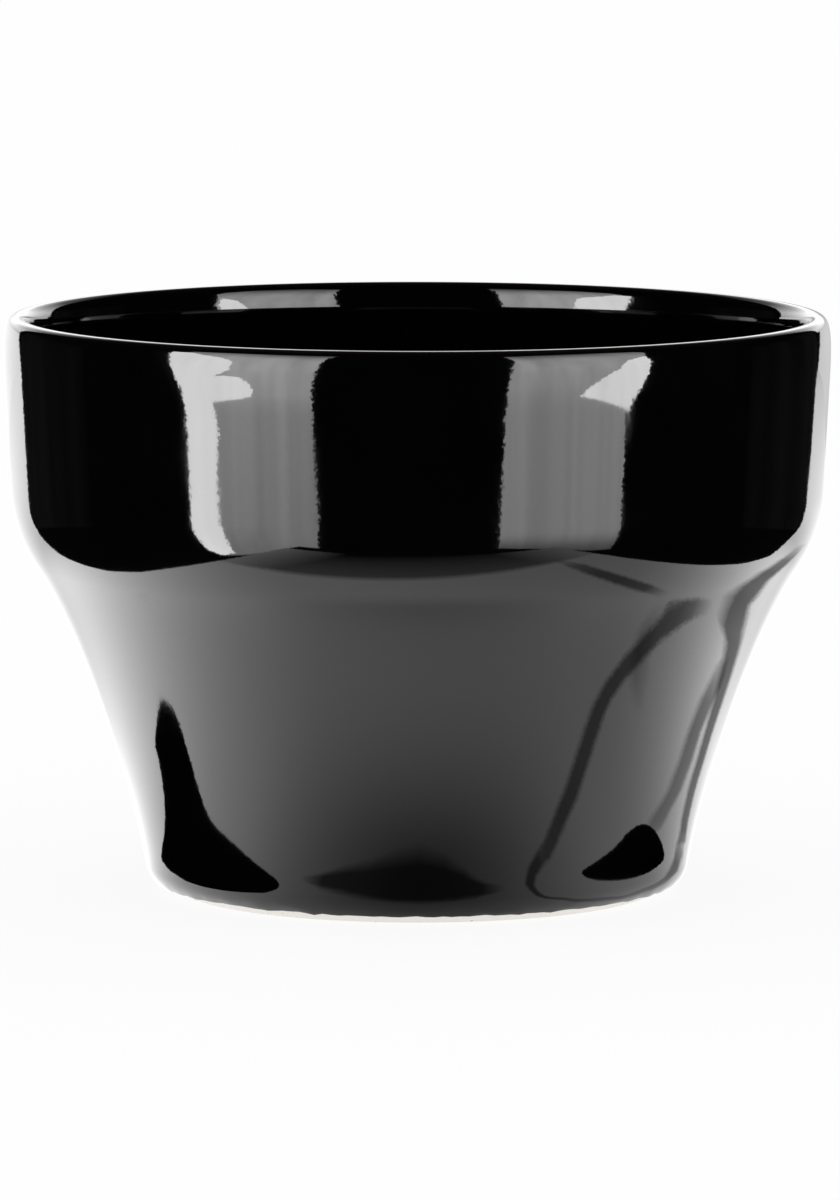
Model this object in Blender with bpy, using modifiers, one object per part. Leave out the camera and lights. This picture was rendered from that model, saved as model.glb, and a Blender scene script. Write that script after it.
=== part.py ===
"""Cupping bowl: a turned stoneware bowl under a black gloss glaze.

Three solids, each turned about +Z: the fired clay, the glaze that wraps it from the floor of the
well over the rim to the heel, and the patch of glaze inside the foot ring. The foot ring between
the two glazes is bare clay. Metres, +Z up, origin at the centre of the foot.
"""

import math

import bpy
from mathutils import Vector

# Sizes of the finished, glazed bowl. The wall keeps its thickness below the band; behind the band
# its inner face has a lean of its own.
HEIGHT = 0.0628
RIM_DIAMETER = 0.090
WALL_THICKNESS = 0.0025
INNER_TAPER = math.radians(1)

# The rounding of the rim. Outside, it swells a little past the band and then turns over a full edge
# to a flat crown. Inside, it is softer. Rise and reach are the shares of its height and width over
# which it keeps the direction of the wall and of the crown.
RIM_SWELL = 0.000085
OUTER_LIP_HEIGHT = 0.0064
OUTER_LIP_RISE = 0.98
OUTER_LIP_REACH = 0.74
INNER_LIP_HEIGHT = 0.0034
INNER_LIP_RISE = 0.7
INNER_LIP_REACH = 0.7

# The upright band under the rim, and the shoulder that turns it in
BAND_HEIGHT = 0.0193
BAND_TAPER = math.radians(3.1)
SHOULDER_RADIUS = 0.0154
SHOULDER_ANGLE = math.radians(34)

# The flared wall between the shoulder and the heel: its lean off the vertical at the heel, and
# how far it keeps the direction of the heel and of the shoulder before it bends
HEEL_ANGLE = math.radians(8.5)
HEEL_PULL = 0.0053
SHOULDER_PULL = 0.0107
HEEL_RADIUS = 0.0035

# The foot ring, with the recess that it leaves under the base
FOOT_DIAMETER = 0.0524
FOOT_RING_WIDTH = 0.0032
RECESS_DEPTH = 0.002
RECESS_FILLET = 0.0013

# The well inside: the height of its floor, and the round between floor and wall
FLOOR_HEIGHT = 0.0068
WELL_RADIUS = 0.016

# The glaze, the height on the heel where it stops, and the film of clearance where it meets the clay
GLAZE_THICKNESS = 0.00035
GLAZE_LINE_HEIGHT = 0.0009
BOND_CLEARANCE = 0.00003

# Facets: steps in a full turn, and in each curve of the outline
TURN_STEPS = 48
OUTER_LIP_STEPS = 6
INNER_LIP_STEPS = 5
SHOULDER_STEPS = 4
WALL_STEPS = 7
HEEL_STEPS = 4
WELL_STEPS = 6
FILLET_STEPS = 3

# Handle length that makes a cubic curve follow a quarter round of radius 1
QUARTER_ROUND_HANDLE = 0.5523

# Points of the turned mesh nearer than this, at the seam and on the axis, become one
WELD_DISTANCE = 1e-6

FOOT_RADIUS = FOOT_DIAMETER / 2
RECESS_RADIUS = FOOT_RADIUS - FOOT_RING_WIDTH


def leaning(angle):
    """Unit direction that climbs the wall while leaning outwards by angle from the vertical."""
    return Vector((math.sin(angle), math.cos(angle)))


def arc(centre, radius, start, end, steps):
    """Points of a round about centre, at angles measured down from the outward direction."""
    angles = [start + (end - start) * i / steps for i in range(steps + 1)]
    return [centre + radius * Vector((math.cos(a), -math.sin(a))) for a in angles]


def cubic(start, start_handle, end_handle, end, steps):
    """Points of a cubic curve between two points and their handles."""
    points = []
    for i in range(steps + 1):
        t = i / steps
        s = 1 - t
        points.append(
            s**3 * start + 3 * s * s * t * start_handle + 3 * s * t * t * end_handle + t**3 * end
        )
    return points


def inset(outline, depth):
    """The outline moved by depth into the clay, which lies to the right of its direction of travel."""
    last = len(outline) - 1
    moved = []
    for i, point in enumerate(outline):
        sides = []
        if i > 0:
            sides.append((point - outline[i - 1]).normalized())
        if i < last:
            sides.append((outline[i + 1] - point).normalized())
        along = sum(sides, Vector((0, 0))).normalized()
        mitre = depth / along.dot(sides[0])
        moved.append(point + mitre * Vector((along.y, -along.x)))
    return moved


def stretch(line, top, bottom):
    """The part of a falling line of points between two heights, with an exact end at each."""

    def at(height):
        for upper, lower in zip(line, line[1:]):
            if lower.y <= height:
                return upper.lerp(lower, (upper.y - height) / (upper.y - lower.y))

    return [at(top)] + [point for point in line if bottom < point.y < top] + [at(bottom)]


def heel():
    """The rounded heel, from the foot of the wall down to the line where the glaze stops."""
    centre = Vector((FOOT_RADIUS, HEEL_RADIUS))
    glaze_line_angle = math.asin(1 - GLAZE_LINE_HEIGHT / HEEL_RADIUS)
    return arc(centre, HEEL_RADIUS, HEEL_ANGLE, glaze_line_angle, HEEL_STEPS)


def outer_side():
    """Down the outside: band, shoulder and flared wall, as far as the start of the heel."""
    band_top = Vector((RIM_DIAMETER / 2 - RIM_SWELL, HEIGHT - OUTER_LIP_HEIGHT))
    band_length = (BAND_HEIGHT - OUTER_LIP_HEIGHT) / math.cos(BAND_TAPER)
    band_end = band_top - band_length * leaning(BAND_TAPER)
    band_normal = Vector((math.cos(BAND_TAPER), -math.sin(BAND_TAPER)))
    shoulder_centre = band_end - SHOULDER_RADIUS * band_normal
    shoulder = arc(shoulder_centre, SHOULDER_RADIUS, BAND_TAPER, SHOULDER_ANGLE, SHOULDER_STEPS)
    heel_top = heel()[0]
    wall = cubic(
        shoulder[-1],
        shoulder[-1] - SHOULDER_PULL * leaning(SHOULDER_ANGLE),
        heel_top + HEEL_PULL * leaning(HEEL_ANGLE),
        heel_top,
        WALL_STEPS,
    )
    return [band_top] + shoulder + wall[1:]


def inner_side():
    """Up the inside: the flat floor of the well, the round at its edge, and the wall."""
    below_band = inset(outer_side(), WALL_THICKNESS)[1:]
    rise = HEIGHT - INNER_LIP_HEIGHT - below_band[0].y
    lip_foot = below_band[0] + rise / math.cos(INNER_TAPER) * leaning(INNER_TAPER)
    wall = [lip_foot] + stretch(below_band, below_band[0].y, FLOOR_HEIGHT + WELL_RADIUS)
    meeting = wall[-1]
    upwards = (wall[-2] - meeting).normalized()
    floor_edge = Vector((meeting.x - WELL_RADIUS, FLOOR_HEIGHT))
    handle = QUARTER_ROUND_HANDLE * WELL_RADIUS
    well = cubic(
        floor_edge,
        floor_edge + Vector((handle, 0)),
        meeting - handle * upwards,
        meeting,
        WELL_STEPS,
    )
    return [Vector((0, FLOOR_HEIGHT))] + well + wall[-2::-1]


def lip(wall_top, crown, taper, rise, reach, steps):
    """The rounding from the top of one face of the wall up to the crown of the rim."""
    return cubic(
        wall_top,
        wall_top + rise * (crown.y - wall_top.y) * leaning(taper),
        crown + Vector((reach * (wall_top.x - crown.x), 0)),
        crown,
        steps,
    )


def glazed_outline():
    """The glazed surface from the middle of the well, over the rim, to the glaze line on the heel."""
    inside = inner_side()
    outside = outer_side()
    crown = Vector(((inside[-1].x + outside[0].x) / 2, HEIGHT))
    inner_lip = lip(inside[-1], crown, INNER_TAPER, INNER_LIP_RISE, INNER_LIP_REACH, INNER_LIP_STEPS)
    outer_lip = lip(outside[0], crown, BAND_TAPER, OUTER_LIP_RISE, OUTER_LIP_REACH, OUTER_LIP_STEPS)
    return inside + inner_lip[1:] + outer_lip[-2::-1] + outside[1:] + heel()[1:]


def base_outline():
    """The glazed surface under the base, from the fillet inside the foot ring to the axis."""
    centre = Vector((RECESS_RADIUS - RECESS_FILLET, RECESS_DEPTH - RECESS_FILLET))
    fillet = arc(centre, RECESS_FILLET, 0, -math.pi / 2, FILLET_STEPS)
    return fillet + [Vector((0, RECESS_DEPTH))]


def clay_profile():
    """The clay between both coats of glaze, from axis to axis, with the bare foot ring under them."""
    depth = GLAZE_THICKNESS + BOND_CLEARANCE
    under_glaze = inset(glazed_outline(), depth)
    under_base = inset(base_outline(), depth)
    foot_outer_edge = Vector((FOOT_RADIUS, 0))
    foot_inner_edge = Vector((under_base[0].x, 0))
    return under_glaze + [foot_outer_edge, foot_inner_edge] + under_base


def coat_profile(outline):
    """A coat of glaze, from axis to axis: its free surface and the face that is bonded to the clay."""
    bonded = inset(outline, GLAZE_THICKNESS)[::-1]
    return outline + bonded if outline[0].x == 0 else bonded + outline


def glaze_material():
    """Black gloss glaze, a dark glass."""
    material = bpy.data.materials.new("black_gloss_glaze")
    material.use_nodes = True
    shader = material.node_tree.nodes["Principled BSDF"]
    shader.inputs["Base Color"].default_value = (0.003, 0.003, 0.003, 1)
    shader.inputs["Roughness"].default_value = 0.05
    shader.inputs["Metallic"].default_value = 0
    shader.inputs["IOR"].default_value = 1.55
    return material


def clay_material():
    """Fired stoneware, pale and dull where it is left bare."""
    material = bpy.data.materials.new("fired_stoneware")
    material.use_nodes = True
    shader = material.node_tree.nodes["Principled BSDF"]
    shader.inputs["Base Color"].default_value = (0.73, 0.70, 0.65, 1)
    shader.inputs["Roughness"].default_value = 0.75
    shader.inputs["Metallic"].default_value = 0
    return material


def turned(name, profile, material, parent, collection):
    """A solid turned about Z from a profile that starts and ends on the axis."""
    mesh = bpy.data.meshes.new(name)
    points = [(point.x, 0, point.y) for point in profile]
    edges = [(i, i + 1) for i in range(len(points) - 1)]
    mesh.from_pydata(points, edges, [])
    mesh.materials.append(material)
    solid = bpy.data.objects.new(name, mesh)
    solid.parent = parent
    collection.objects.link(solid)
    screw = solid.modifiers.new("Turn", "SCREW")
    screw.axis = "Z"
    screw.steps = TURN_STEPS
    screw.render_steps = TURN_STEPS
    screw.use_merge_vertices = True
    screw.merge_threshold = WELD_DISTANCE
    screw.use_smooth_shade = True
    return solid


def clear_scene():
    for old in list(bpy.data.objects):
        bpy.data.objects.remove(old)


def main():
    clear_scene()
    collection = bpy.data.collections.new("cupping_bowl")
    bpy.context.scene.collection.children.link(collection)
    bowl = bpy.data.objects.new("cupping_bowl", None)
    collection.objects.link(bowl)
    glaze = glaze_material()
    turned("clay_body", clay_profile(), clay_material(), bowl, collection)
    turned("glaze_coat", coat_profile(glazed_outline()), glaze, bowl, collection)
    turned("base_glaze", coat_profile(base_outline()), glaze, bowl, collection)


if __name__ == "__main__":
    main()
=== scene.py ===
import math

import bpy
from bpy.props import FloatProperty, FloatVectorProperty, PointerProperty
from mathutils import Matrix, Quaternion, Vector


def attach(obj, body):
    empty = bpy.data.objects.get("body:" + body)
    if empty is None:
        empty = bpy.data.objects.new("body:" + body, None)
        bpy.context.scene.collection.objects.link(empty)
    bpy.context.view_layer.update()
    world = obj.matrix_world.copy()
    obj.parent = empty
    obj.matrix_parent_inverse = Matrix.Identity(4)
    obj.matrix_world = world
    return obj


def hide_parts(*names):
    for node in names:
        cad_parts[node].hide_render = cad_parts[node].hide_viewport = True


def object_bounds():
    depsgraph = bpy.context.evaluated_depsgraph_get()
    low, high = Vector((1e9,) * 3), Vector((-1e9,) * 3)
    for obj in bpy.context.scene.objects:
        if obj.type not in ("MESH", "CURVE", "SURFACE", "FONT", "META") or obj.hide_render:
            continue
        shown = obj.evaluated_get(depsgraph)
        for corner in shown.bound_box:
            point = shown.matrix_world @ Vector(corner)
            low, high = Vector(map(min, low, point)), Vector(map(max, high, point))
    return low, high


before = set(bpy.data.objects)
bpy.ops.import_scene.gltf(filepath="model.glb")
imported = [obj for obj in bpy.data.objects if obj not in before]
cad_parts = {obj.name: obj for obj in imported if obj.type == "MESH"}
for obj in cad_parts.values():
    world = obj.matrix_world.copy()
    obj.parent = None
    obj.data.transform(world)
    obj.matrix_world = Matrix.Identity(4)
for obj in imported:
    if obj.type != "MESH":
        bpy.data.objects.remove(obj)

bl_info = {
    "name": "Cupping Bowl",
    "version": (1, 0, 0),
    "blender": (4, 5, 0),
    "location": "3D View > Sidebar > Cupping Bowl",
    "description": "Turns a tasting bowl ring by ring, glazes it black and sets up its studio",
    "category": "Object",
}

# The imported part's box, lowest and highest corner, before anything is added to it
CAD_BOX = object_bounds()

# Steps in a full turn, and in each curve of the outline
TURN_STEPS = 192
WELL_STEPS = 18
INNER_LIP_STEPS = 18
OUTER_LIP_STEPS = 18
SHOULDER_STEPS = 16
WALL_STEPS = 30
HEEL_STEPS = 10
FILLET_STEPS = 8

# Longest step on a straight stretch of the outline, so that shading stays true up to its ends
LONGEST_STEP = 0.0006

# Handle length that makes a cubic curve follow a quarter round of radius 1
QUARTER_ROUND_HANDLE = 0.5523

# Shares of a lip's height and width over which it keeps the direction of the wall and of the crown
OUTER_LIP_RISE = 0.98
OUTER_LIP_REACH = 0.74
INNER_LIP_RISE = 0.7
INNER_LIP_REACH = 0.7

# Points of a piece nearer than this become one
WELD_DISTANCE = 1e-7

# Edges that turn by more than this are rounded, in this many steps
CRISP_EDGE = math.radians(40)
EDGE_STEPS = 3

# The wandering glaze line: the size of its largest waves, and how many finer sizes ride on them
RIPPLE_SIZE = 0.0018
RIPPLE_DEPTH = 3

# The glaze: the size and depth of the wavering in its coat, the size of its grain and how far that
# tips the surface, how far under the crown the coat runs thin, and the ends of its roughness.
# The grain is about 0.2 mm on the real glaze, and drawn larger so that it shows.
WAVER_SIZE = 0.007
WAVER_DEPTH = 3e-6
GLAZE_GRAIN = 0.00035
GLAZE_GRAIN_TIP = 0.012
THIN_GLAZE_REACH = 0.0004
GLAZE_ROUGHNESS = (0.03, 0.06)
GLAZE_IOR = 1.55

# The clay: the size of its sand, how deep it is and how strongly that shows, and the spacing of its
# specks. A speck's core and edge are shares of that spacing.
SAND_SIZE = 0.00035
SAND_DEPTH = 4e-5
SAND_STRENGTH = 0.6
SPECK_SPACING = 0.002
SPECK_CORE = 0.06
SPECK_EDGE = 0.1
SPECK_STRENGTH = 0.8
CLAY_ROUGHNESS = (0.7, 0.9)
CLAY_IOR = 1.5

# Values that noise keeps mostly within
NOISE_LOW = 0.3
NOISE_HIGH = 0.7


def linear(colour):
    """Linear RGBA of an sRGB colour written as #rrggbb."""
    shares = [int(colour[i : i + 2], 16) / 255 for i in (1, 3, 5)]
    return [s / 12.92 if s <= 0.04045 else ((s + 0.055) / 1.055) ** 2.4 for s in shares] + [1.0]


def size(name, description, default):
    """A length that a user may change, in metres."""
    return FloatProperty(
        name=name, description=description, default=default, min=0.0, unit="LENGTH", precision=5
    )


def lean(name, description, degrees):
    """An angle that a user may change."""
    return FloatProperty(
        name=name, description=description, default=math.radians(degrees), subtype="ANGLE"
    )


def shade(name, description, colour):
    """A colour that a user may change."""
    return FloatVectorProperty(
        name=name, description=description, default=linear(colour), size=4, min=0.0, max=1.0,
        subtype="COLOR",
    )


class BowlSizes(bpy.types.PropertyGroup):
    """Sizes of the finished, glazed bowl."""

    height: size("Height", "From the table to the crown of the rim", CAD_BOX[1].z)
    rim_diameter: size(
        "Rim diameter", "Across the widest part, just under the crown", CAD_BOX[1].x - CAD_BOX[0].x
    )
    wall: size("Wall", "Thickness of the glazed wall below the band", 0.0025)
    rim_swell: size("Rim swell", "How far the lip swells past the top of the band", 0.000085)
    outer_lip: size("Outer lip", "Height of the rounding outside the rim", 0.0064)
    inner_lip: size("Inner lip", "Height of the rounding inside the rim", 0.0034)
    inner_taper: lean("Inner taper", "Lean of the inner face behind the band", 1)
    band: size("Band", "Height of the upright band, rim included", 0.0193)
    band_taper: lean("Band taper", "Lean of the band off the vertical", 3.1)
    shoulder_radius: size("Shoulder radius", "Round that turns the band in", 0.0154)
    shoulder_angle: lean("Shoulder angle", "Lean of the wall where the shoulder ends", 34)
    shoulder_pull: size("Shoulder pull", "How far the wall keeps the shoulder's direction", 0.0107)
    heel_pull: size("Heel pull", "How far the wall keeps the heel's direction", 0.0053)
    heel_angle: lean("Heel angle", "Lean of the wall where the heel starts", 8.5)
    heel_radius: size("Heel radius", "Round between the wall and the foot", 0.0035)
    foot_diameter: size("Foot diameter", "Across the outside of the foot ring", 0.0524)
    foot_ring: size("Foot ring", "Width of the foot ring", 0.0032)
    recess_depth: size("Recess depth", "Height of the base above the table", 0.002)
    recess_fillet: size("Recess fillet", "Round between the foot ring and the base", 0.0013)
    floor: size("Floor", "Height of the floor of the well", 0.0068)
    well_radius: size("Well radius", "Round between the floor and the wall", 0.016)
    glaze: size("Glaze", "Thickness of the glaze", 0.00035)
    glaze_line: size("Glaze line", "Height on the heel where the glaze stops", 0.0009)
    glaze_ripple: size("Glaze ripple", "How far the glaze line wanders up and down", 0.0005)
    bond: size("Bond", "Film of clearance between the glaze and the clay", 0.00003)
    foot_edge: size("Foot edge", "Softening of the foot ring's inner edge", 0.0003)
    glaze_edge: size("Glaze edge", "Softening of the glaze where it stops", 0.00012)


class BowlFinishes(bpy.types.PropertyGroup):
    """Colours of the clay and the glaze."""

    glaze_deep: shade("Glaze", "Black of the glaze where it lies thick", "#010101")
    glaze_cloud: shade("Glaze cloud", "Slightly paler black that clouds it", "#030303")
    glaze_thin: shade("Thin glaze", "Brown black where the glaze runs thin on the rim", "#120d0a")
    clay: shade("Clay", "Bare fired clay", "#eeebe6")
    clay_shadow: shade("Clay grain", "Darker grains in the clay", "#e2ded7")
    clay_speck: shade("Clay speck", "Iron specks in the clay", "#b5aa9c")


def leaning(angle):
    """Unit direction that climbs the wall while leaning outwards by angle from the vertical."""
    return Vector((math.sin(angle), math.cos(angle)))


def arc(centre, radius, start, end, steps):
    """Points of a round about centre, at angles measured down from the outward direction."""
    angles = [start + (end - start) * i / steps for i in range(steps + 1)]
    return [centre + radius * Vector((math.cos(a), -math.sin(a))) for a in angles]


def cubic(start, start_handle, end_handle, end, steps):
    """Points of a cubic curve between two points and their handles."""
    points = []
    for i in range(steps + 1):
        t = i / steps
        s = 1 - t
        points.append(
            s**3 * start + 3 * s * s * t * start_handle + 3 * s * t * t * end_handle + t**3 * end
        )
    return points


def inset(outline, depth):
    """The outline moved by depth into the clay, which lies to the right as it runs."""
    last = len(outline) - 1
    moved = []
    for i, point in enumerate(outline):
        sides = []
        if i > 0:
            sides.append((point - outline[i - 1]).normalized())
        if i < last:
            sides.append((outline[i + 1] - point).normalized())
        along = sum(sides, Vector((0, 0))).normalized()
        mitre = depth / along.dot(sides[0])
        moved.append(point + mitre * Vector((along.y, -along.x)))
    return moved


def stretch(line, top, bottom):
    """The part of a falling line of points between two heights, with an exact end at each."""

    def at(height):
        for upper, lower in zip(line, line[1:]):
            if lower.y <= height:
                return upper.lerp(lower, (upper.y - height) / (upper.y - lower.y))

    return [at(top)] + [point for point in line if bottom < point.y < top] + [at(bottom)]


def spaced(start, end):
    """Evenly spaced points of a straight stretch, without its end."""
    steps = math.ceil((end - start).length / LONGEST_STEP)
    return [start.lerp(end, i / steps) for i in range(steps)]


def heel(sizes):
    """The rounded heel, from the foot of the wall down to the line where the glaze stops."""
    centre = Vector((sizes.foot_diameter / 2, sizes.heel_radius))
    end = math.asin(1 - sizes.glaze_line / sizes.heel_radius)
    return arc(centre, sizes.heel_radius, sizes.heel_angle, end, HEEL_STEPS)


def outer_side(sizes):
    """Down the outside: band, shoulder and flared wall, as far as the start of the heel."""
    taper = sizes.band_taper
    top = Vector((sizes.rim_diameter / 2 - sizes.rim_swell, sizes.height - sizes.outer_lip))
    end = top - (sizes.band - sizes.outer_lip) / math.cos(taper) * leaning(taper)
    centre = end - sizes.shoulder_radius * Vector((math.cos(taper), -math.sin(taper)))
    shoulder = arc(centre, sizes.shoulder_radius, taper, sizes.shoulder_angle, SHOULDER_STEPS)
    heel_top = heel(sizes)[0]
    wall = cubic(
        shoulder[-1],
        shoulder[-1] - sizes.shoulder_pull * leaning(sizes.shoulder_angle),
        heel_top + sizes.heel_pull * leaning(sizes.heel_angle),
        heel_top,
        WALL_STEPS,
    )
    return spaced(top, end) + shoulder + wall[1:]


def inner_side(sizes):
    """Up the inside: the edge of the floor, the round of the well, and the wall."""
    below_band = inset(outer_side(sizes), sizes.wall)[-1 - SHOULDER_STEPS - WALL_STEPS :]
    rise = sizes.height - sizes.inner_lip - below_band[0].y
    lip_foot = below_band[0] + rise / math.cos(sizes.inner_taper) * leaning(sizes.inner_taper)
    lower_wall = stretch(below_band, below_band[0].y, sizes.floor + sizes.well_radius)
    wall = spaced(lip_foot, below_band[0]) + lower_wall
    meeting = wall[-1]
    upwards = (wall[-2] - meeting).normalized()
    floor_edge = Vector((meeting.x - sizes.well_radius, sizes.floor))
    handle = QUARTER_ROUND_HANDLE * sizes.well_radius
    well = cubic(
        floor_edge,
        floor_edge + Vector((handle, 0)),
        meeting - handle * upwards,
        meeting,
        WELL_STEPS,
    )
    return well + wall[-2::-1]


def lip(wall_top, crown, taper, rise, reach, steps):
    """The rounding from the top of one face of the wall up to the crown of the rim."""
    return cubic(
        wall_top,
        wall_top + rise * (crown.y - wall_top.y) * leaning(taper),
        crown + Vector((reach * (wall_top.x - crown.x), 0)),
        crown,
        steps,
    )


def glazed_outline(sizes):
    """The glazed surface from the edge of the floor, over the rim, to the line on the heel."""
    inside = inner_side(sizes)
    outside = outer_side(sizes)
    crown = Vector(((inside[-1].x + outside[0].x) / 2, sizes.height))
    inner_lip = lip(
        inside[-1], crown, sizes.inner_taper, INNER_LIP_RISE, INNER_LIP_REACH, INNER_LIP_STEPS
    )
    outer_lip = lip(
        outside[0], crown, sizes.band_taper, OUTER_LIP_RISE, OUTER_LIP_REACH, OUTER_LIP_STEPS
    )
    return inside + inner_lip[1:] + outer_lip[-2::-1] + outside[1:] + heel(sizes)[1:]


def base_outline(sizes):
    """The glazed surface under the base, from inside the foot ring to the flat of the base."""
    radius = sizes.recess_fillet
    ring = sizes.foot_diameter / 2 - sizes.foot_ring
    centre = Vector((ring - radius, sizes.recess_depth - radius))
    return arc(centre, radius, 0, -math.pi / 2, FILLET_STEPS)


def add_disc(name, rim):
    """Adds a flat disc out to rim and selects its edge, ready to be drawn on in edit mode."""
    bpy.ops.object.select_all(action="DESELECT")
    bpy.ops.mesh.primitive_circle_add(
        vertices=TURN_STEPS, radius=rim.x, fill_type="TRIFAN", location=(0, 0, rim.y)
    )
    piece = bpy.context.object
    piece.name = name
    piece.data.name = name
    bpy.ops.object.transform_apply(location=True, rotation=True, scale=True)
    bpy.ops.object.mode_set(mode="EDIT")
    bpy.ops.mesh.select_all(action="SELECT")
    bpy.ops.mesh.region_to_loop()
    return piece


def draw_on(outline):
    """Draws the selected ring from point to point of an outline, as a thrower draws up a wall."""
    for here, there in zip(outline, outline[1:]):
        share = there.x / here.x
        bpy.ops.mesh.extrude_edges_move(TRANSFORM_OT_translate={"value": (0, 0, there.y - here.y)})
        bpy.ops.transform.resize(value=(share, share, 1), center_override=(0, 0, 0))


def face_outwards(piece, upwards):
    """Ends edit mode with every face looking out; the disc that began piece looks up or down."""
    bpy.ops.mesh.select_all(action="SELECT")
    bpy.ops.mesh.remove_doubles(threshold=WELD_DISTANCE)
    bpy.ops.mesh.normals_make_consistent(inside=False)
    bpy.ops.object.mode_set(mode="OBJECT")
    if (piece.data.polygons[0].normal.z > 0) != upwards:
        bpy.ops.object.mode_set(mode="EDIT")
        bpy.ops.mesh.flip_normals()
        bpy.ops.object.mode_set(mode="OBJECT")


def apply_modifier(piece, kind, **settings):
    """Adds a modifier to piece with these settings and applies it."""
    modifier = piece.modifiers.new(kind.title(), kind)
    for name, value in settings.items():
        setattr(modifier, name, value)
    bpy.ops.object.modifier_apply(modifier=modifier.name)


def soften_edges(piece, width):
    """Rounds the crisp edges of piece over width, and shades the rest smooth."""
    apply_modifier(
        piece, "BEVEL", width=width, segments=EDGE_STEPS, limit_method="ANGLE",
        angle_limit=CRISP_EDGE,
    )
    bpy.ops.object.shade_smooth_by_angle(angle=CRISP_EDGE)


def thicken(piece, thickness):
    """Gives a sheet of glaze its thickness, inwards from the faces that it has."""
    apply_modifier(piece, "SOLIDIFY", thickness=thickness, offset=-1, use_even_offset=True)


def hand_over(piece, node, material):
    """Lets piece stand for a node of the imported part, in one of its material slots."""
    if not piece.data.polygons:
        raise RuntimeError(f"{piece.name} has no faces")
    piece.data.materials.clear()
    piece.data.materials.append(material)
    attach(piece, "root")
    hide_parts(node)


def add_node(tree, kind, inputs, **settings):
    """Adds a node with these settings; an input is a value, or the socket that it is linked to."""
    node = tree.nodes.new(kind)
    for name, value in settings.items():
        setattr(node, name, value)
    for name, value in inputs.items():
        if isinstance(value, bpy.types.NodeSocket):
            tree.links.new(value, node.inputs[name])
        else:
            node.inputs[name].default_value = value
    return node


def new_material(name):
    """An empty node material, and its tree."""
    material = bpy.data.materials.new(name)
    material.use_nodes = True
    material.node_tree.nodes.clear()
    return material, material.node_tree


def black_gloss_glaze(sizes, finishes):
    """Tenmoku-like black glaze, a dark iron glass that was dipped on and melted in the kiln.

    The eye gets mirror-sharp reflections on deep black. Their upright edges fray a little, because
    the melted surface has a slight grain, and they waver, because the coat isn't quite even. On the
    crown of the rim the coat runs thin and turns brown.
    """
    found = bpy.data.materials.get("black_gloss_glaze")
    if found:
        return found
    material, tree = new_material("black_gloss_glaze")
    place = add_node(tree, "ShaderNodeTexCoord", {}).outputs["Object"]
    waver = add_node(
        tree, "ShaderNodeTexNoise", {"Vector": place, "Scale": 1 / WAVER_SIZE, "Detail": 2.0}
    ).outputs["Fac"]
    grain = add_node(
        tree, "ShaderNodeTexNoise", {"Vector": place, "Scale": 1 / GLAZE_GRAIN, "Detail": 2.0}
    ).outputs["Color"]
    clouded = add_node(
        tree,
        "ShaderNodeMix",
        {"Factor": waver, 6: finishes.glaze_deep, 7: finishes.glaze_cloud},
        data_type="RGBA",
    ).outputs[2]
    height = add_node(tree, "ShaderNodeSeparateXYZ", {"Vector": place}).outputs["Z"]
    thin = add_node(
        tree,
        "ShaderNodeMapRange",
        {
            "Value": height,
            "From Min": sizes.height - THIN_GLAZE_REACH,
            "From Max": sizes.height,
        },
    ).outputs["Result"]
    colour = add_node(
        tree,
        "ShaderNodeMix",
        {"Factor": thin, 6: clouded, 7: finishes.glaze_thin},
        data_type="RGBA",
    ).outputs[2]
    roughness = add_node(
        tree,
        "ShaderNodeMapRange",
        {
            "Value": waver,
            "From Min": NOISE_LOW,
            "From Max": NOISE_HIGH,
            "To Min": GLAZE_ROUGHNESS[0],
            "To Max": GLAZE_ROUGHNESS[1],
        },
    ).outputs["Result"]
    uneven = add_node(
        tree, "ShaderNodeBump", {"Height": waver, "Strength": 1.0, "Distance": WAVER_DEPTH}
    ).outputs["Normal"]
    # The grain tips the surface sideways and not up or down, so that level edges stay sharp
    sideways = Vector((GLAZE_GRAIN_TIP, GLAZE_GRAIN_TIP, 0))
    tip = add_node(
        tree,
        "ShaderNodeVectorMath",
        {0: grain, 1: 2 * sideways, 2: -sideways},
        operation="MULTIPLY_ADD",
    ).outputs["Vector"]
    tipped = add_node(
        tree, "ShaderNodeVectorMath", {0: uneven, 1: tip}, operation="ADD"
    ).outputs["Vector"]
    grainy = add_node(
        tree, "ShaderNodeVectorMath", {0: tipped}, operation="NORMALIZE"
    ).outputs["Vector"]
    glass = add_node(
        tree,
        "ShaderNodeBsdfPrincipled",
        {"Base Color": colour, "Roughness": roughness, "Normal": grainy, "IOR": GLAZE_IOR},
    )
    add_node(tree, "ShaderNodeOutputMaterial", {"Surface": glass.outputs["BSDF"]})
    return material


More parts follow.
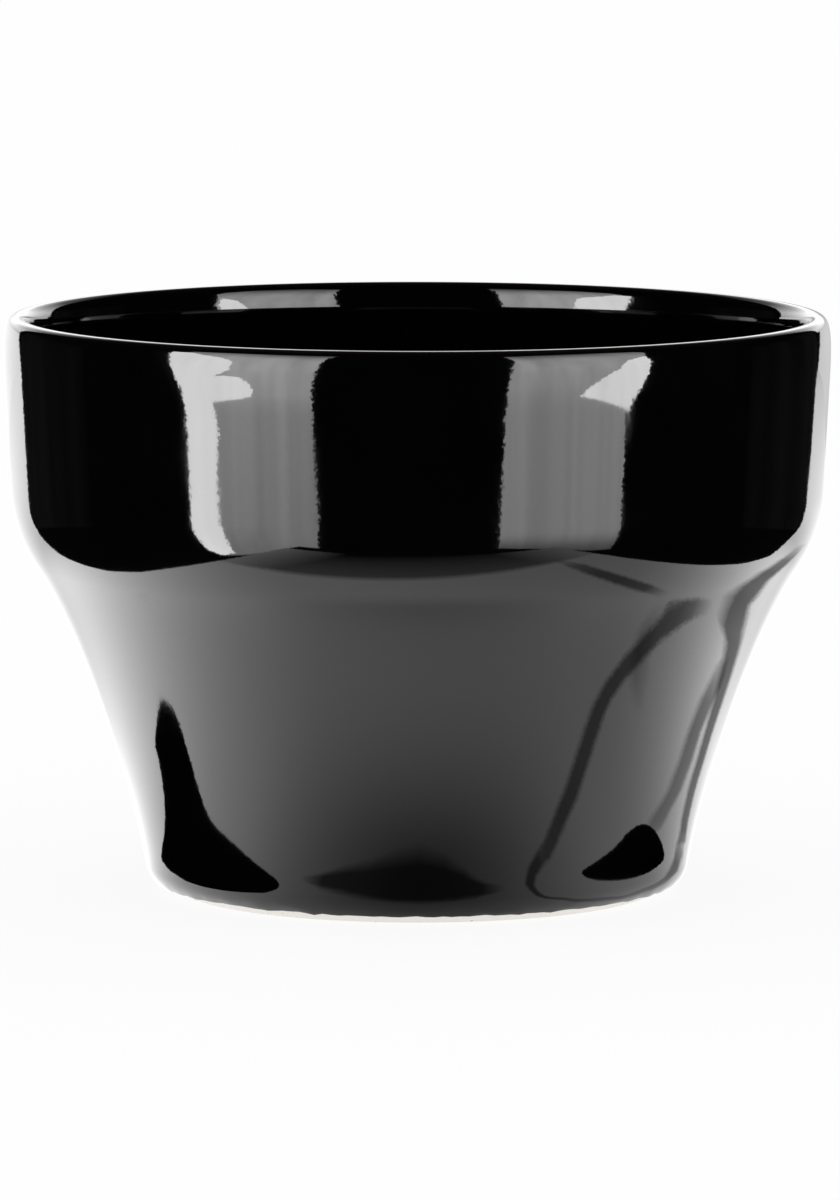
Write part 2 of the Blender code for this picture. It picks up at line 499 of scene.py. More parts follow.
def fired_stoneware(finishes):
    """Pale fired stoneware, turned, wiped clean of glaze and left bare.

    The eye gets a dull, slightly warm white with a sandy grain and a few iron specks.
    """
    material, tree = new_material("fired_stoneware")
    place = add_node(tree, "ShaderNodeTexCoord", {}).outputs["Object"]
    grain = add_node(
        tree, "ShaderNodeTexNoise", {"Vector": place, "Scale": 1 / SAND_SIZE, "Detail": 4.0}
    ).outputs["Fac"]
    nearest = add_node(
        tree, "ShaderNodeTexVoronoi", {"Vector": place, "Scale": 1 / SPECK_SPACING}
    ).outputs["Distance"]
    specks = add_node(
        tree,
        "ShaderNodeMapRange",
        {
            "Value": nearest,
            "From Min": SPECK_CORE,
            "From Max": SPECK_EDGE,
            "To Min": SPECK_STRENGTH,
            "To Max": 0.0,
        },
    ).outputs["Result"]
    sandy = add_node(
        tree,
        "ShaderNodeMix",
        {"Factor": grain, 6: finishes.clay, 7: finishes.clay_shadow},
        data_type="RGBA",
    ).outputs[2]
    colour = add_node(
        tree,
        "ShaderNodeMix",
        {"Factor": specks, 6: sandy, 7: finishes.clay_speck},
        data_type="RGBA",
    ).outputs[2]
    roughness = add_node(
        tree,
        "ShaderNodeMapRange",
        {"Value": grain, "To Min": CLAY_ROUGHNESS[0], "To Max": CLAY_ROUGHNESS[1]},
    ).outputs["Result"]
    sanded = add_node(
        tree,
        "ShaderNodeBump",
        {"Height": grain, "Strength": SAND_STRENGTH, "Distance": SAND_DEPTH},
    ).outputs["Normal"]
    clay = add_node(
        tree,
        "ShaderNodeBsdfPrincipled",
        {"Base Color": colour, "Roughness": roughness, "Normal": sanded, "IOR": CLAY_IOR},
    )
    add_node(tree, "ShaderNodeOutputMaterial", {"Surface": clay.outputs["BSDF"]})
    return material


class CUPPING_BOWL_OT_clay_body(bpy.types.Operator):
    """Turns the fired clay, from the floor of the well over the rim to the foot and the base"""

    bl_idname = "cupping_bowl.clay_body"
    bl_label = "Turn the clay body"

    def execute(self, context):
        sizes = context.scene.bowl_sizes
        depth = sizes.glaze + sizes.bond
        under_glaze = inset(glazed_outline(sizes), depth)
        under_base = inset(base_outline(sizes), depth)
        foot = [Vector((sizes.foot_diameter / 2, 0)), Vector((under_base[0].x, 0))]
        outline = under_glaze + foot + under_base
        piece = add_disc("clay", outline[0])
        draw_on(outline)
        bpy.ops.mesh.extrude_edges_move()
        bpy.ops.mesh.merge(type="CENTER")
        face_outwards(piece, upwards=True)
        soften_edges(piece, sizes.foot_edge)
        hand_over(piece, "clay_body", fired_stoneware(context.scene.bowl_finishes))
        return {"FINISHED"}


class CUPPING_BOWL_OT_glaze_coat(bpy.types.Operator):
    """Coats the clay in glaze, from the floor of the well over the rim to the glaze line"""

    bl_idname = "cupping_bowl.glaze_coat"
    bl_label = "Coat the bowl in glaze"

    def execute(self, context):
        sizes = context.scene.bowl_sizes
        outline = glazed_outline(sizes)
        piece = add_disc("glaze", outline[0])
        draw_on(outline)
        face_outwards(piece, upwards=True)
        self.let_the_edge_wander(piece, sizes)
        thicken(piece, sizes.glaze)
        soften_edges(piece, sizes.glaze_edge)
        material = black_gloss_glaze(sizes, context.scene.bowl_finishes)
        hand_over(piece, "glaze_coat", material)
        return {"FINISHED"}

    def let_the_edge_wander(self, piece, sizes):
        """Moves the last rings of the glaze up and down, by less the higher they are."""
        edge = piece.vertex_groups.new(name="glaze_line")
        reach = sizes.heel_radius - sizes.glaze_line
        for vertex in piece.data.vertices:
            weight = 1 - (vertex.co.z - sizes.glaze_line) / reach
            if weight > 0:
                edge.add([vertex.index], weight**2, "REPLACE")
        clouds = bpy.data.textures.new("glaze_line", "CLOUDS")
        clouds.noise_scale = RIPPLE_SIZE
        clouds.noise_depth = RIPPLE_DEPTH
        apply_modifier(
            piece, "DISPLACE", texture=clouds, direction="Z", mid_level=0.5,
            strength=sizes.glaze_ripple, vertex_group=edge.name,
        )
        bpy.data.textures.remove(clouds)
        piece.vertex_groups.clear()


class CUPPING_BOWL_OT_base_glaze(bpy.types.Operator):
    """Glazes the base inside the foot ring"""

    bl_idname = "cupping_bowl.base_glaze"
    bl_label = "Glaze the base"

    def execute(self, context):
        sizes = context.scene.bowl_sizes
        outline = base_outline(sizes)[::-1]
        piece = add_disc("glaze_under_base", outline[0])
        draw_on(outline)
        face_outwards(piece, upwards=False)
        thicken(piece, sizes.glaze)
        soften_edges(piece, sizes.glaze_edge)
        material = black_gloss_glaze(sizes, context.scene.bowl_finishes)
        hand_over(piece, "base_glaze", material)
        return {"FINISHED"}


# The camera: metres from the middle of the bowl, angle above it and tilt, and a focal length for a
# sensor this long on its tall side, in millimetres. It aims a little beside the bowl's middle.
CAMERA_DISTANCE = 0.9987
CAMERA_HEIGHT = math.radians(6.78)
CAMERA_TILT = math.radians(0.05)
CAMERA_LENS = 274.4
CAMERA_SENSOR = 36
CAMERA_NEAREST = 0.01
CAMERA_AIM = Vector((0.00033, 0, 0.00017))

# The white paper that the bowl stands on: its width, how far it lies under the foot so that no
# faces meet, and the share of its white that is its own light, so that the shadow stays faint
FLOOR_SIZE = 16
FLOOR_DROP = 0.00002
FLOOR_GLOW = 0.9
# Brightness of the room where the glaze mirrors it
ROOM_IN_GLAZE = 0.005

# What the glaze mirrors: cards round the bowl that show only in its gloss. Their corners are
# bearings, from the camera's towards the picture's right, and elevations, in degrees, as seen from
# this height on the bowl's axis.
EYE_HEIGHT = 0.052
CARD_DISTANCE = 0.7
LAMP_DISTANCE = 0.58
LEFT_SOFTBOX = (
    (-60, -28), (-62, -20), (-63, -11), (-64, -7), (-66, -2), (-67, 4), (-68.5, 12), (-70.5, 20),
    (-73, 29), (-72, 38), (-60, 45), (-45, 48), (-27, 50), (-26.2, 25), (-26.2, 11), (-27, 3),
    (-28.1, -6.6), (-28.1, -10.7), (-27.7, -11.2), (-27, -11.6), (-26.9, -12), (-27.9, -22.1),
    (-33.4, -21), (-43.5, -25.1), (-48.7, -27.2), (-55, -28.1),
)
LEFT_LAMP = (
    (-75.5, 31), (-73, 22), (-70.5, 13), (-69, 4.2), (-67.6, -2.6), (-65.9, -6.9), (-65.1, -9.6),
    (-64.5, -10), (-64.6, -10.5), (-64.5, -11), (-64.1, -11.5), (-63.3, -17.4), (-61.9, -24.9),
    (-57.9, -28.1), (-54.1, -26.4), (-54, -12.9), (-55.1, -11.6), (-55.8, -11.1), (-55.6, -10.7),
    (-54.8, -10.3), (-55, -10.1), (-55.7, -9.8), (-56.4, -8.7), (-52.6, -8.5), (-48.5, -8.2),
    (-45, -7.5), (-44.2, -6.3), (-45.4, -3.5), (-48.1, -1.2), (-52.8, -0.7), (-55.6, -1.4),
    (-51, 3), (-50.8, 10), (-52, 16), (-55, 21), (-61.7, 25), (-69, 32),
)
RIGHT_SOFTBOX = (
    (26.7, 21.4), (24.3, -3.8), (23.7, -10.4), (23.4, -11.1), (23, -11.6), (22.6, -12.2),
    (22.8, -21.9), (38.7, -22.6), (49.9, -24.5), (56.8, -23.8), (57.1, -18.1), (57.7, -11.5),
    (57.9, -11), (58.1, -10.4), (57.8, -10), (62.2, -6.5), (66, 7.7), (65.5, 14), (67.3, 24),
    (71, 33), (72, 40), (64, 47), (45, 50), (28, 44),
)
RIGHT_LAMP = (
    (43.9, -7.4), (46.5, -5.2), (51.5, -0.8), (55.5, 4), (56.8, 8), (59, 14), (62.5, 17.5),
    (65.8, 21), (65.3, 9), (64, -1.1), (61.8, -6.3), (58.8, -9.7), (54.3, -9), (48.4, -8.1),
)
BACKDROP = ((147, 5), (180, 5), (215, 5), (215, 38), (180, 38), (147, 38))
HORIZON = ((145, -10), (180, -10), (219, -10), (219, -5), (216, 5), (180, 5), (150, 5), (146, -5))
LEFT_WALL = ((-140, -14), (-103, -14), (-103, 12), (-140, 12))
RIGHT_WALL = ((103, -14), (144, -14), (144, 12), (103, 12))

# Brightness of each card at some of its elevations
LEFT_SOFTBOX_GLOW = ((-28, 2.4), (-12, 3.1), (-7, 5.0), (5, 5.8), (22, 5.4), (32, 3.6), (47, 0.8))
RIGHT_SOFTBOX_GLOW = (
    (-26, 0.5), (-20, 1.5), (-12, 3.4), (-4, 4.6), (8, 5.1), (22, 4.7), (32, 3.1), (48, 0.6),
)
LAMP_GLOW = ((-29, 12.5), (32, 12.5))
BACKDROP_GLOW = ((5, 1.5), (7, 2), (11, 2.3), (17, 1.5), (26, 0.4), (38, 0.03))
HORIZON_GLOW = ((-10, 0.5), (5, 0.5))
WALL_GLOW = ((-14, 0.02), (12, 0.016))
# The horizon grows brighter to either side of this place, by this share for each metre
HORIZON_MIDDLE = 0.07
HORIZON_GAIN = 8.8
# Distance between the folds in a card's cloth, and how strongly they show
CLOTH_FOLDS = 0.06
SOFTBOX_STREAKS = 0.15
LAMP_STREAKS = 0.08
WALL_STREAKS = 0.4

# The white sheet under the bowl, as the glaze mirrors it, and the dark patches on it before their
# corners are rounded, in millimetres. The patches are painted shade on the sheet near the foot.
SHEET = (
    (-76.5, -120), (-77, -75), (-80, -20), (-85, 0), (-105, 50), (-130, 100), (-160, 150),
    (-200, 210), (-250, 290), (-300, 355), (-350, 415), (-365, 435), (325, 450), (300, 400),
    (250, 310), (225, 255), (200, 215), (150, 140), (125, 80), (105, 45), (95, 10), (90, -20),
    (86, -60), (83, -105), (82, -120),
)
LEFT_SHADE = (
    (-63.7, -4), (-60, 4.4), (-57, 1.5), (-45, 0.5), (-38, 2.1), (-36, -3), (-34, -9), (-30, -15),
    (-25, -21), (-21.3, -28), (-21.3, -30), (-28, -27.6), (-35, -24), (-40, -20), (-45, -17.5),
    (-55, -15), (-60, -13), (-63, -8),
)
RIGHT_SHADE = (
    (25.3, -27.6), (31.8, -16.8), (35.9, -7.6), (38, -2.8), (41, -3.4), (43.6, -7), (43.5, -12.4),
    (40.2, -17.3), (36, -20.3), (31, -24.3),
)

# How far the patches lie over the sheet, and how often their corners are cut to round them
SHADE_LIFT = 0.0002
CORNER_CUTS = 2

# Soft dark strips: points along the middle of each and half its width there, in millimetres, and
# how dark it is there. Some lie on the sheet, the first with its ends lifted. One stands beside the
# bowl, and two stand there and widen level. The second on the sheet is painted shadow, the dark
# core of the bowl's shadow in front of its foot; the others are dark lines that only the gloss
# shows, a painted reflection.
FLAT_STRIPS = (
    # Painted reflection: a dark line that only the gloss shows
    (
        (24.5, -32.6, 2.5, 1.9, 0), (24, -32.6, 1.8, 1.9, 0.2), (23.2, -32.9, 0.9, 1.8, 0.45),
        (21.6, -33.4, 0.3, 1.4, 0.75), (19.3, -32.9, 0.3, 1.2, 0.75),
        (17.8, -31.9, 0.3, 1.1, 0.75), (17.8, -30.7, 0.3, 0.7, 0.75), (17.4, -27.9, 0.3, 1, 0.65),
        (18.9, -24.1, 0.3, 0.8, 0.45), (21.2, -21.1, 0.3, 0.6, 0.4), (24, -17.6, 0.3, 0.5, 0.36),
        (27, -13.9, 0.3, 0.8, 0.4), (28.9, -10.9, 0.3, 1.1, 0.45), (33.1, -4.3, 0.3, 1.6, 0.6),
        (36.2, 2.6, 0.3, 2.1, 0.7), (38.8, 7.9, 0.3, 3.7, 0.5), (39.5, 8.5, 1.3, 4, 0),
    ),
    # Painted shadow: the dark core of the bowl's shadow in front of its foot
    (
        (-19, -32.3, 0.3, 0.3, 0), (-15.3, -33.9, 0.3, 1.3, 0.82), (-11.6, -35.5, 0.3, 2.4, 0.82),
        (-7.8, -36.4, 0.3, 3.4, 0.82), (-3.4, -36.9, 0.3, 5, 0.82), (0.6, -37.2, 0.3, 5.6, 0.82),
        (4.5, -36.8, 0.3, 4.6, 0.82), (7.6, -35.9, 0.3, 2.8, 0.82), (10.2, -34.8, 0.3, 1.3, 0.82),
        (14, -33.5, 0.3, 0.3, 0),
    ),
    # Painted reflection: a dark line that only the gloss shows
    (
        (59.7, -90, 0.3, 2.5, 0), (59.6, -72.4, 0.3, 5.5, 0.6), (58.7, -57.6, 0.3, 5.5, 0.75),
        (58.2, -45.9, 0.3, 5.3, 0.75), (57.7, -32, 0.3, 4.6, 0.7), (57.3, -27, 0.3, 3.6, 0.4),
        (57, -23, 0.3, 2.6, 0.15), (57, -20, 0.3, 2, 0),
    ),
)
# Painted reflection: a dark line standing beside the bowl, which its gloss shows
UPRIGHT_STRIPS = (
    (
        (44, -15.9, 22.6, 0.7, 0), (42.9, -18.5, 22.3, 0.9, 0.3), (41.7, -20.9, 22, 1.3, 0.6),
        (40.1, -23.4, 21.6, 1.8, 0.72), (38.4, -25.9, 20.9, 2.4, 0.75),
        (36.1, -28.2, 19.4, 2.4, 0.75), (33.6, -30.4, 17.5, 2.4, 0.75),
        (31.6, -31.6, 15.6, 2.4, 0.75), (30.5, -32, 13.9, 2.4, 0.75), (29.6, -32, 11.8, 2.4, 0.75),
        (28.8, -31.9, 9.9, 2.4, 0.75), (28, -31.9, 8.1, 2.4, 0.75), (27.1, -31.9, 6.1, 2.4, 0.75),
        (25.7, -32.3, 4.1, 2.2, 0.75), (24.3, -32.6, 2.2, 2, 0.7), (23.2, -32.9, 0.9, 1.7, 0.45),
        (22.4, -33.3, 0.4, 1.5, 0),
    ),
)
# Painted reflection: dark lines standing beside the bowl, which its gloss shows
LEVEL_STRIPS = (
    (
        (39.1, 8.9, 0.3, 5.6, 0), (39.2, 9, 0.9, 4.8, 0.6), (39.8, 8, 1.8, 4.1, 0.74),
        (40.2, 7, 2.8, 4.2, 0.72), (41.3, 6.1, 5.8, 4.2, 0.72), (42.2, 6.3, 8.8, 4.3, 0.76),
        (43.2, 5.6, 11.9, 4.4, 0.76), (44.2, 4.8, 14.9, 5, 0.77), (44.9, 3.4, 16.9, 5.8, 0.77),
        (45.6, 1.8, 18.8, 6.3, 0.78), (46.1, 0, 20.2, 6.9, 0.78), (46.3, -3.9, 21.4, 9.3, 0.76),
        (46.5, -5.4, 22.6, 8.6, 0.78), (46.7, -6.2, 23.7, 6.6, 0.8), (47.3, -4.4, 24.9, 7.5, 0.78),
        (48.4, -2.9, 28.3, 7.2, 0.8), (49.3, 0.5, 31, 5.9, 0.72), (49.8, 4.8, 33.3, 5, 0.25),
        (49.5, 8.6, 34.3, 6, 0),
    ),
    (
        (38.9, -10.9, 1.3, 3.6, 0), (39.5, -9.5, 2.1, 4.3, 0.36), (40, -8.5, 2.9, 4.7, 0.46),
        (40.8, -6.4, 4.3, 4.4, 0.52), (41.5, -4.4, 5.7, 4.6, 0.56), (42.5, -3.1, 8.7, 4.8, 0.62),
        (43.4, -3.3, 11.7, 4.6, 0.66), (44.3, -2.4, 14.7, 5.1, 0.66),
        (44.9, -1.5, 16.5, 4.9, 0.55), (45.4, -1.7, 18, 4.2, 0.35), (45.7, -2.3, 19.3, 3, 0),
    ),
)
# Share of a strip's width that has its full darkness
STRIP_CORE = 0.45

# The sheet's brightness, and pools of light on it: place in metres, brightness and radius
SHEET_BASE = 1.06
SHEET_POOLS = (
    ((-0.0975, 0.0024, 0), 2.4, 0.095),
    ((0.1054, 0.0241, 0), 1.98, 0.086),
    ((-0.994, -0.077, 0), 9.17, 1.131),
    ((0.401, 0.13, 0), 2.48, 0.45),
)
# Across the fold at the front of the sheet, which runs a little askew: where the fold lies in that
# direction, and the brightness that is left beyond it
SHEET_FORWARD = (0.125, 1, 0)
FOLD_RANGE = (-0.0815, -0.0755)
FOLD_GLOW = 0.26
# Beyond it, where the middle falls to dark, and how far to the side and how bright it stays lit
FALL_RANGE = (-0.122, -0.082)
SIDE_RANGE = (0.035, 0.078)
SIDE_GLOW = 0.75
# The bowl's own shadow in front of its foot: its middle, how its width counts beside its depth, its
# reach, and the brightness that is left in it
FOOT_SHADOW = Vector((0.0013, -0.0372, 0))
FOOT_SHADOW_SQUEEZE = Vector((0.64, 1, 0))
FOOT_SHADOW_REACH = 0.0265
FOOT_SHADOW_GLOW = 0.16


def show_only_in_gloss(card):
    """Lets a card be mirrored, and neither be seen nor light the scene."""
    card.visible_camera = False
    card.visible_diffuse = False
    card.visible_transmission = False
    card.visible_volume_scatter = False
    card.visible_shadow = False


def add_card(name, corners, material):
    """Adds a card with these corners in the studio."""
    bpy.ops.object.select_all(action="DESELECT")
    bpy.ops.mesh.primitive_circle_add(vertices=len(corners), fill_type="NGON")
    card = bpy.context.object
    card.name = name
    for vertex, corner in zip(card.data.vertices, corners):
        vertex.co = corner
    card.data.materials.append(material)
    show_only_in_gloss(card)


def rounded(corners):
    """The outline with its corners cut, each time a quarter of the way along both sides."""
    for cut in range(CORNER_CUTS):
        sides = list(zip(corners, corners[1:] + corners[:1]))
        corners = [
            (start[0] + share * (end[0] - start[0]), start[1] + share * (end[1] - start[1]))
            for start, end in sides
            for share in (0.25, 0.75)
        ]
    return corners


def lay_strip(middle_line, flat, level, material):
    """Lays a strip along a middle line, darkest in its core and clear at its edges."""
    last = len(middle_line) - 1
    bpy.ops.object.select_all(action="DESELECT")
    bpy.ops.mesh.primitive_grid_add(x_subdivisions=last, y_subdivisions=3)
    strip = bpy.context.object
    strip.name = "soft_strip"
    darkness = strip.data.attributes.new("darkness", "FLOAT", "POINT")
    places = [Vector(point[:3]) / 1000 for point in middle_line]
    for i, place in enumerate(places):
        along = Vector((0, 0, 1)) if level else places[min(i + 1, last)] - places[max(i - 1, 0)]
        facing = Vector((0, 0, 1)) if flat else Vector((place.x, place.y, 0))
        side = middle_line[i][3] / 1000 * along.cross(facing).normalized()
        for row, share in enumerate((-1, -STRIP_CORE, STRIP_CORE, 1)):
            corner = i + row * (last + 1)
            strip.data.vertices[corner].co = place + share * side
            darkness.data[corner].value = middle_line[i][4] if abs(share) < 1 else 0
    strip.data.materials.append(material)
    show_only_in_gloss(strip)


def height_at(elevation, distance):
    """Height of what the rim sees at an elevation in degrees."""
    return EYE_HEIGHT + distance * math.tan(math.radians(elevation))


def hang_card(name, directions, distance, stops, streaks, gain):
    """Hangs a glowing card round the bowl.

    Streaks is how strongly folds in its cloth show, and gain how fast it grows brighter sideways.
    """
    corners = [
        (
            distance * math.sin(math.radians(bearing)),
            -distance * math.cos(math.radians(bearing)),
            height_at(elevation, distance),
        )
        for bearing, elevation in directions
    ]
    material, tree = new_material(name)
    place = add_node(tree, "ShaderNodeTexCoord", {}).outputs["Object"]
    low, high = [height_at(stop[0], distance) for stop in (stops[0], stops[-1])]
    height = add_node(tree, "ShaderNodeSeparateXYZ", {"Vector": place}).outputs["Z"]
    share = add_node(
        tree, "ShaderNodeMapRange", {"Value": height, "From Min": low, "From Max": high}
    ).outputs["Result"]
    ramp = add_node(tree, "ShaderNodeValToRGB", {"Fac": share})
    brightest = max(strength for elevation, strength in stops)
    marks = ramp.color_ramp.elements
    while len(marks) < len(stops):
        marks.new(1)
    for mark, (elevation, strength) in zip(marks, stops):
        mark.position = (height_at(elevation, distance) - low) / (high - low)
        mark.color = [strength / brightest] * 3 + [1]
    # Folds that run up and down the cloth
    upright = add_node(
        tree, "ShaderNodeVectorMath", {0: place, 1: (1, 1, 0.1)}, operation="MULTIPLY"
    ).outputs["Vector"]
    folds = add_node(
        tree, "ShaderNodeTexNoise", {"Vector": upright, "Scale": 1 / CLOTH_FOLDS, "Detail": 3.0}
    ).outputs["Fac"]
    strength = add_node(
        tree,
        "ShaderNodeMapRange",
        {
            "Value": folds,
            "From Min": NOISE_LOW,
            "From Max": NOISE_HIGH,
            "To Min": brightest * (1 - streaks),
            "To Max": brightest * (1 + streaks),
        },
    ).outputs["Result"]
    across = add_node(tree, "ShaderNodeSeparateXYZ", {"Vector": place}).outputs["X"]
    aside = add_node(
        tree, "ShaderNodeMath", {0: across, 1: HORIZON_MIDDLE}, operation="SUBTRACT"
    ).outputs["Value"]
    beside = add_node(tree, "ShaderNodeMath", {0: aside}, operation="ABSOLUTE").outputs["Value"]
    gained = add_node(
        tree, "ShaderNodeMath", {0: beside, 1: gain, 2: 1.0}, operation="MULTIPLY_ADD"
    ).outputs["Value"]
    total = add_node(
        tree, "ShaderNodeMath", {0: strength, 1: gained}, operation="MULTIPLY"
    ).outputs["Value"]
    light = add_node(
        tree, "ShaderNodeEmission", {"Color": ramp.outputs["Color"], "Strength": total}
    )
    add_node(tree, "ShaderNodeOutputMaterial", {"Surface": light.outputs["Emission"]})
    add_card(name, corners, material)


class CUPPING_BOWL_OT_stage(bpy.types.Operator):
    """Sets up the white floor, the light, what the glaze mirrors, and the camera"""

    bl_idname = "cupping_bowl.stage"
    bl_label = "Set up the studio"

    def execute(self, context):
        context.scene.view_settings.view_transform = "Standard"
        self.lay_floor()
        self.lay_sheet()
        self.lay_shades()
        for name, directions, distance, stops, streaks, gain in (
            ("left_softbox", LEFT_SOFTBOX, CARD_DISTANCE, LEFT_SOFTBOX_GLOW, SOFTBOX_STREAKS, 0),
            ("left_lamp", LEFT_LAMP, LAMP_DISTANCE, LAMP_GLOW, LAMP_STREAKS, 0),
            ("right_softbox", RIGHT_SOFTBOX, CARD_DISTANCE, RIGHT_SOFTBOX_GLOW, SOFTBOX_STREAKS, 0),
            ("right_lamp", RIGHT_LAMP, LAMP_DISTANCE, LAMP_GLOW, LAMP_STREAKS, 0),
            ("backdrop", BACKDROP, CARD_DISTANCE, BACKDROP_GLOW, 0, 0),
            ("horizon", HORIZON, CARD_DISTANCE, HORIZON_GLOW, 0, HORIZON_GAIN),
            ("left_wall", LEFT_WALL, CARD_DISTANCE, WALL_GLOW, WALL_STREAKS, 0),
            ("right_wall", RIGHT_WALL, CARD_DISTANCE, WALL_GLOW, WALL_STREAKS, 0),
        ):
            hang_card(name, directions, distance, stops, streaks, gain)
        self.light_room(context.scene)
        self.place_camera(context.scene)
        return {"FINISHED"}

    def lay_floor(self):
        """A wide sheet of white paper, evenly lit, that keeps a faint shadow."""
        bpy.ops.object.select_all(action="DESELECT")
        bpy.ops.mesh.primitive_plane_add(size=FLOOR_SIZE, location=(0, 0, -FLOOR_DROP))
        floor = bpy.context.object
        floor.name = "floor"
        material, tree = new_material("white_paper")
        paper = add_node(tree, "ShaderNodeBsdfDiffuse", {"Color": linear("#f4f4f4")})
        lit = add_node(tree, "ShaderNodeEmission", {"Color": (1, 1, 1, 1), "Strength": 1.0})
        mixed = add_node(
            tree,
            "ShaderNodeMixShader",
            {"Fac": FLOOR_GLOW, 1: paper.outputs["BSDF"], 2: lit.outputs["Emission"]},
        )
        add_node(tree, "ShaderNodeOutputMaterial", {"Surface": mixed.outputs["Shader"]})
        floor.data.materials.append(material)
        floor.visible_glossy = False

    def lay_sheet(self):
        """The lit sheet that the glaze mirrors, with pools of light, and shadows near the foot."""
        material, tree = new_material("lit_sheet")
        place = add_node(tree, "ShaderNodeTexCoord", {}).outputs["Object"]
        total = SHEET_BASE
        for middle, brightness, radius in SHEET_POOLS:
            away = add_node(
                tree, "ShaderNodeVectorMath", {0: place, 1: middle}, operation="DISTANCE"
            ).outputs["Value"]
            pool = add_node(
                tree,
                "ShaderNodeMapRange",
                {"Value": away, "From Max": radius, "To Min": brightness, "To Max": 0.0},
                interpolation_type="SMOOTHSTEP",
            ).outputs["Result"]
            total = add_node(
                tree, "ShaderNodeMath", {0: total, 1: pool}, operation="ADD"
            ).outputs["Value"]
        # Beyond the fold at its front the sheet turns dark, and darkest in the middle
        forward = add_node(
            tree, "ShaderNodeVectorMath", {0: place, 1: SHEET_FORWARD}, operation="DOT_PRODUCT"
        ).outputs["Value"]
        fold = add_node(
            tree,
            "ShaderNodeMapRange",
            {
                "Value": forward,
                "From Min": FOLD_RANGE[0],
                "From Max": FOLD_RANGE[1],
                "To Min": FOLD_GLOW,
            },
        ).outputs["Result"]
        fall = add_node(
            tree,
            "ShaderNodeMapRange",
            {"Value": forward, "From Min": FALL_RANGE[0], "From Max": FALL_RANGE[1]},
        ).outputs["Result"]
        middle_front = add_node(
            tree, "ShaderNodeMath", {0: fold, 1: fall}, operation="MULTIPLY"
        ).outputs["Value"]
        across = add_node(tree, "ShaderNodeSeparateXYZ", {"Vector": place}).outputs["X"]
        beside = add_node(
            tree, "ShaderNodeMath", {0: across}, operation="ABSOLUTE"
        ).outputs["Value"]
        side_front = add_node(
            tree,
            "ShaderNodeMapRange",
            {
                "Value": beside,
                "From Min": SIDE_RANGE[0],
                "From Max": SIDE_RANGE[1],
                "To Max": SIDE_GLOW,
            },
        ).outputs["Result"]
        front = add_node(
            tree, "ShaderNodeMath", {0: middle_front, 1: side_front}, operation="MAXIMUM"
        ).outputs["Value"]
        squeezed = add_node(
            tree,
            "ShaderNodeVectorMath",
            {0: place, 1: FOOT_SHADOW_SQUEEZE, 2: -FOOT_SHADOW * FOOT_SHADOW_SQUEEZE},
            operation="MULTIPLY_ADD",
        ).outputs["Vector"]
        from_foot = add_node(
            tree, "ShaderNodeVectorMath", {0: squeezed}, operation="LENGTH"
        ).outputs["Value"]
        shadow = add_node(
            tree,
            "ShaderNodeMapRange",
            {"Value": from_foot, "From Max": FOOT_SHADOW_REACH, "To Min": FOOT_SHADOW_GLOW},
            interpolation_type="SMOOTHSTEP",
        ).outputs["Result"]
        for share in (front, shadow):
            total = add_node(
                tree, "ShaderNodeMath", {0: total, 1: share}, operation="MULTIPLY"
            ).outputs["Value"]
        light = add_node(tree, "ShaderNodeEmission", {"Strength": total})
        add_node(tree, "ShaderNodeOutputMaterial", {"Surface": light.outputs["Emission"]})
        add_card("lit_sheet", [(x / 1000, y / 1000, 0) for x, y in SHEET], material)

    def lay_shades(self):
        """Painted shade near the bowl: two patches with hard edges, and strips with soft ones."""
        dark, tree = new_material("shade")
        unlit = add_node(tree, "ShaderNodeBsdfDiffuse", {"Color": (0, 0, 0, 1)})
        add_node(tree, "ShaderNodeOutputMaterial", {"Surface": unlit.outputs["BSDF"]})
        # Two patches of painted shade on the sheet, near the foot
        for name, corners in (("left_shade", LEFT_SHADE), ("right_shade", RIGHT_SHADE)):
            outline = [(x / 1000, y / 1000, SHADE_LIFT) for x, y in rounded(corners)]
            add_card(name, outline, dark)
        soft, tree = new_material("soft_shade")
        darkness = add_node(
            tree, "ShaderNodeAttribute", {}, attribute_name="darkness"
        ).outputs["Fac"]
        clear = add_node(tree, "ShaderNodeBsdfTransparent", {})
        unlit = add_node(tree, "ShaderNodeBsdfDiffuse", {"Color": (0, 0, 0, 1)})
        mixed = add_node(
            tree,
            "ShaderNodeMixShader",
            {"Fac": darkness, 1: clear.outputs["BSDF"], 2: unlit.outputs["BSDF"]},
        )
        add_node(tree, "ShaderNodeOutputMaterial", {"Surface": mixed.outputs["Shader"]})
        # The strips are painted shadow at the foot and painted reflection of dark lines
        for strips, flat, level in (
            (FLAT_STRIPS, True, False),
            (UPRIGHT_STRIPS, False, False),
            (LEVEL_STRIPS, False, True),
        ):
            for middle_line in strips:
                lay_strip(middle_line, flat, level, soft)

    def light_room(self, scene):
        """An even white room; in the glaze, what no card covers stays dark."""
        room = bpy.data.worlds.new("room")
        room.use_nodes = True
        tree = room.node_tree
        tree.nodes.clear()
        mirrored = add_node(tree, "ShaderNodeLightPath", {}).outputs["Is Glossy Ray"]
        strength = add_node(
            tree,
            "ShaderNodeMath",
            {0: mirrored, 1: ROOM_IN_GLAZE - 1, 2: 1.0},
            operation="MULTIPLY_ADD",
        ).outputs["Value"]
        white = add_node(
            tree, "ShaderNodeBackground", {"Color": (1, 1, 1, 1), "Strength": strength}
        )
        add_node(tree, "ShaderNodeOutputWorld", {"Surface": white.outputs["Background"]})
        scene.world = room

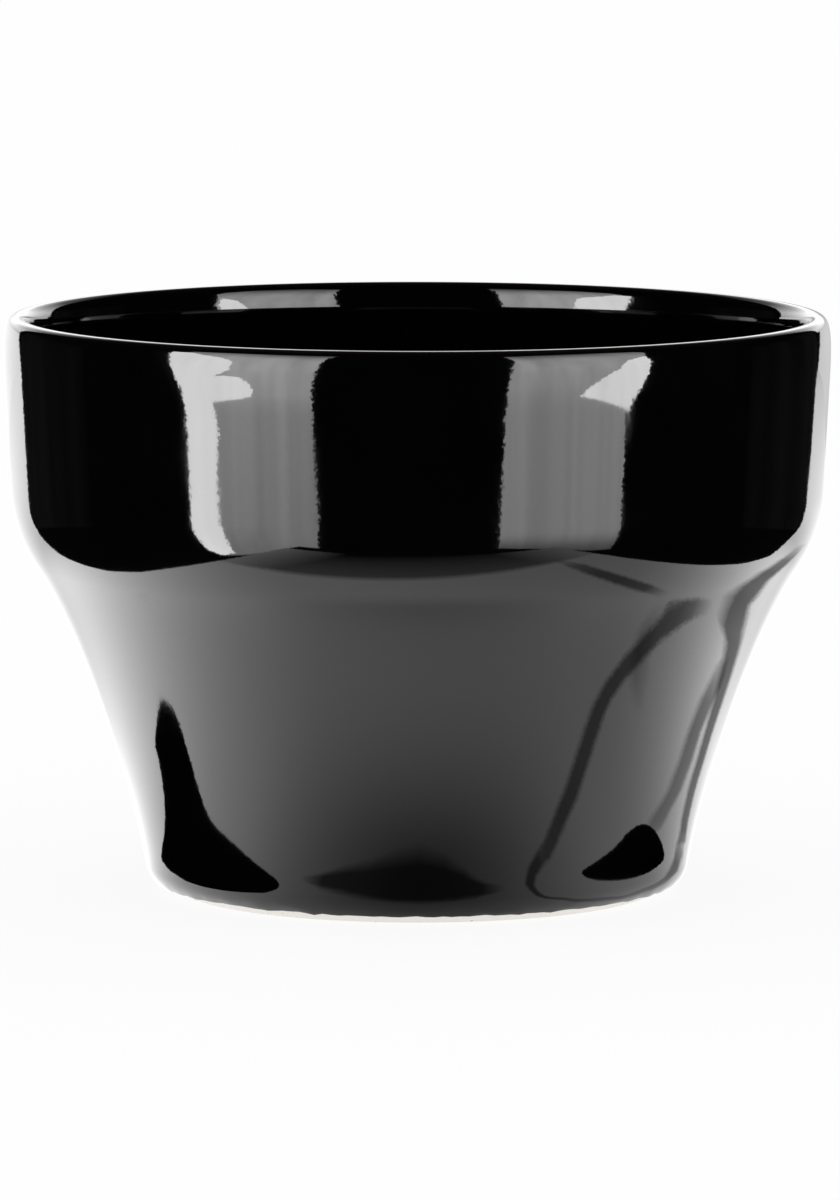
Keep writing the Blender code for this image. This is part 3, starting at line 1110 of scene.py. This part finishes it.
    def place_camera(self, scene):
        """The camera, almost level with the bowl and far off, with a long lens."""
        middle = (CAD_BOX[0] + CAD_BOX[1]) / 2
        back = Vector((0, -math.cos(CAMERA_HEIGHT), math.sin(CAMERA_HEIGHT)))
        place = middle + CAMERA_DISTANCE * back
        facing = (middle + CAMERA_AIM - place).to_track_quat("-Z", "Y")
        turned = facing @ Quaternion((0, 0, 1), CAMERA_TILT)
        bpy.ops.object.camera_add(location=place, rotation=turned.to_euler())
        camera = bpy.context.object
        camera.data.sensor_width = CAMERA_SENSOR
        camera.data.lens = CAMERA_LENS
        camera.data.clip_start = CAMERA_NEAREST
        scene.camera = camera


class CUPPING_BOWL_PT_panel(bpy.types.Panel):
    """Lists the pieces of the bowl and its sizes and colours"""

    bl_idname = "CUPPING_BOWL_PT_panel"
    bl_label = "Cupping Bowl"
    bl_space_type = "VIEW_3D"
    bl_region_type = "UI"
    bl_category = "Cupping Bowl"

    def draw(self, context):
        for step in STEPS:
            self.layout.operator(step.bl_idname)
        for group in (context.scene.bowl_sizes, context.scene.bowl_finishes):
            box = self.layout.box()
            for name in group.__annotations__:
                box.prop(group, name)


STEPS = (
    CUPPING_BOWL_OT_clay_body,
    CUPPING_BOWL_OT_glaze_coat,
    CUPPING_BOWL_OT_base_glaze,
    CUPPING_BOWL_OT_stage,
)
CLASSES = (BowlSizes, BowlFinishes, *STEPS, CUPPING_BOWL_PT_panel)


def register():
    for each in CLASSES:
        bpy.utils.register_class(each)
    bpy.types.Scene.bowl_sizes = PointerProperty(type=BowlSizes)
    bpy.types.Scene.bowl_finishes = PointerProperty(type=BowlFinishes)


def unregister():
    del bpy.types.Scene.bowl_finishes
    del bpy.types.Scene.bowl_sizes
    for each in reversed(CLASSES):
        bpy.utils.unregister_class(each)


def main():
    register()
    bpy.ops.cupping_bowl.clay_body()
    bpy.ops.cupping_bowl.glaze_coat()
    bpy.ops.cupping_bowl.base_glaze()
    bpy.ops.cupping_bowl.stage()


if __name__ == "__main__":
    main()
